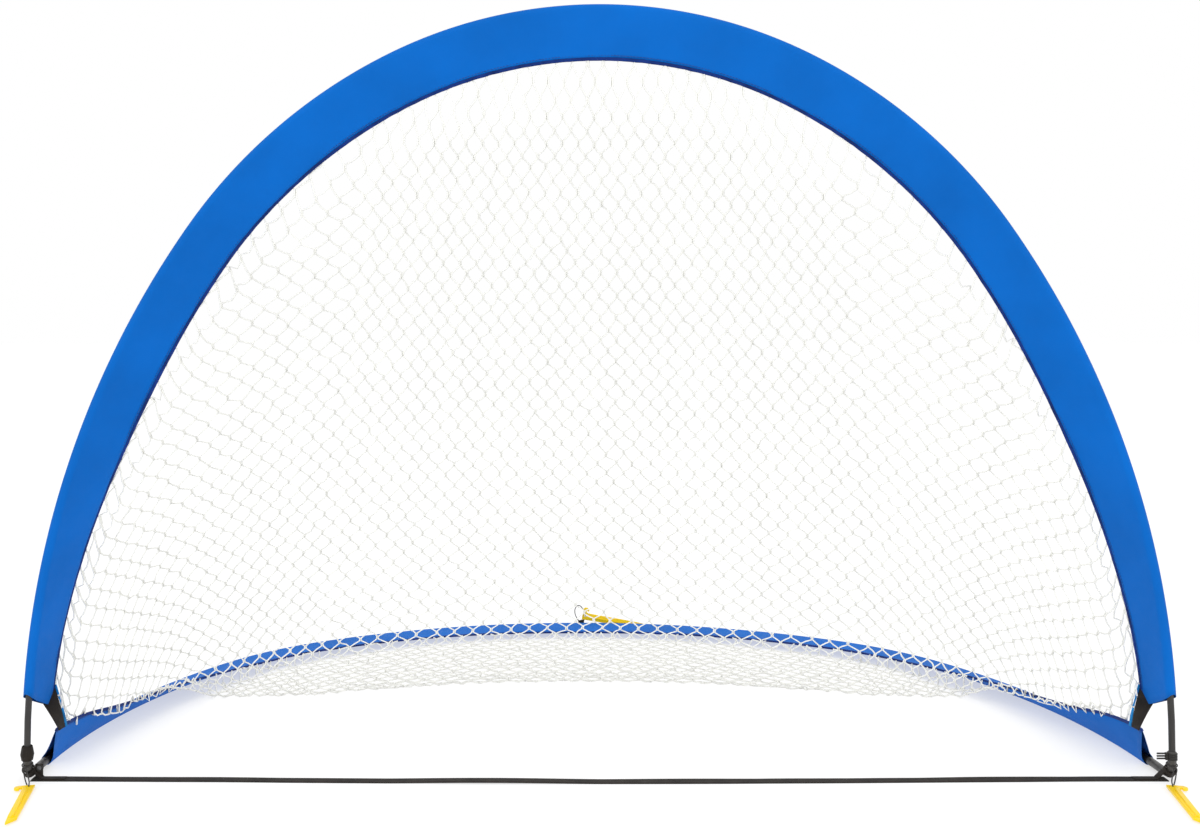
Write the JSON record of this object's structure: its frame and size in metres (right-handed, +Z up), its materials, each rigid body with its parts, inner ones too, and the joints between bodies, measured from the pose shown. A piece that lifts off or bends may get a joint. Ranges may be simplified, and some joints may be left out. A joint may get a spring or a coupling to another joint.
{
  "type": "pop-up goal",
  "caption": "Folding pop-up practice goal: a fabric-sleeved arch hinged on a ground hoop, a loose net between them, a base strap and tethered ground pegs.",
  "frame": {"origin": "on the ground, at the middle of the underside of the strap across the mouth", "axes": "+X along the mouth to the right seen from the front, +Y from the mouth back to the ground hoop, +Z up"},
  "size_m": [1.8234, 1.1878, 1.2253],
  "materials": {
    "frame_rod": "satin",
    "corner_hose": "matte",
    "sleeve_fabric": "matte",
    "seam_binding": "matte",
    "webbing": "matte",
    "net_mesh": "matte",
    "net_tape": "matte",
    "fittings": "satin",
    "peg_plastic": "gloss",
    "peg_cord": "matte"
  },
  "bodies": {
    "ground_frame": {"rear_rod": "frame_rod", "rear_sleeve": "sleeve_fabric", "rear_sleeve_end_left": "sleeve_fabric", "rear_sleeve_end_right": "sleeve_fabric", "rear_piping": "seam_binding", "elbow_hose_left": "corner_hose", "elbow_hose_right": "corner_hose", "base_strap": "webbing", "strap_loop_left": "webbing", "strap_loop_right": "webbing", "corner_eyelet_left": "fittings", "peg_hitch_left": "peg_cord", "peg_hitch_right": "peg_cord", "gusset_webbing_left": "webbing", "gusset_webbing_right": "webbing", "net_binding_left": "net_tape", "net_binding_right": "net_tape", "net": "net_mesh", "rear_loop_tab": "webbing"},
    "front_arch": {"front_rod": "frame_rod", "front_sleeve": "sleeve_fabric", "front_sleeve_leg_left": "sleeve_fabric", "front_sleeve_leg_right": "sleeve_fabric", "front_piping": "seam_binding", "corner_wrap_left": "webbing", "cable_ties_right": "fittings"},
    "left_peg": {"peg_left": "peg_plastic", "peg_cord_left": "peg_cord"},
    "right_peg": {"peg_right": "peg_plastic", "peg_cord_right": "peg_cord"},
    "rear_peg": {"peg_rear": "peg_plastic", "peg_cord_rear": "peg_cord"}
  },
  "joints": [
    {"name": "arch_fold", "type": "hinge", "parent": "ground_frame", "child": "front_arch", "pos_m": [0, -0.01, 0.04], "axis": [-1, 0, 0], "range_deg": [0, 86], "stiffness_Nm_per_rad": 5, "springref_deg": -5.73, "deforming": ["front_sleeve_leg_left", "front_sleeve_leg_right", "front_piping", "rear_sleeve_end_left", "rear_sleeve_end_right", "rear_piping", "elbow_hose_left", "elbow_hose_right", "gusset_webbing_left", "gusset_webbing_right", "net_binding_left", "net_binding_right", "net"]},
    {"name": "peg_left_lift", "type": "hinge", "parent": "ground_frame", "child": "left_peg", "pos_m": [-0.902, -0.01838, 0.02508], "axis": [-1, 0, 0], "range_deg": [0, 90]},
    {"name": "peg_right_lift", "type": "hinge", "parent": "ground_frame", "child": "right_peg", "pos_m": [0.902, -0.01838, 0.02508], "axis": [-1, 0, 0], "range_deg": [0, 90]},
    {"name": "peg_rear_lift", "type": "hinge", "parent": "ground_frame", "child": "rear_peg", "pos_m": [0.004, 0.992, 0.008], "axis": [0, -1, 0], "range_deg": [0, 75]}
  ]
}
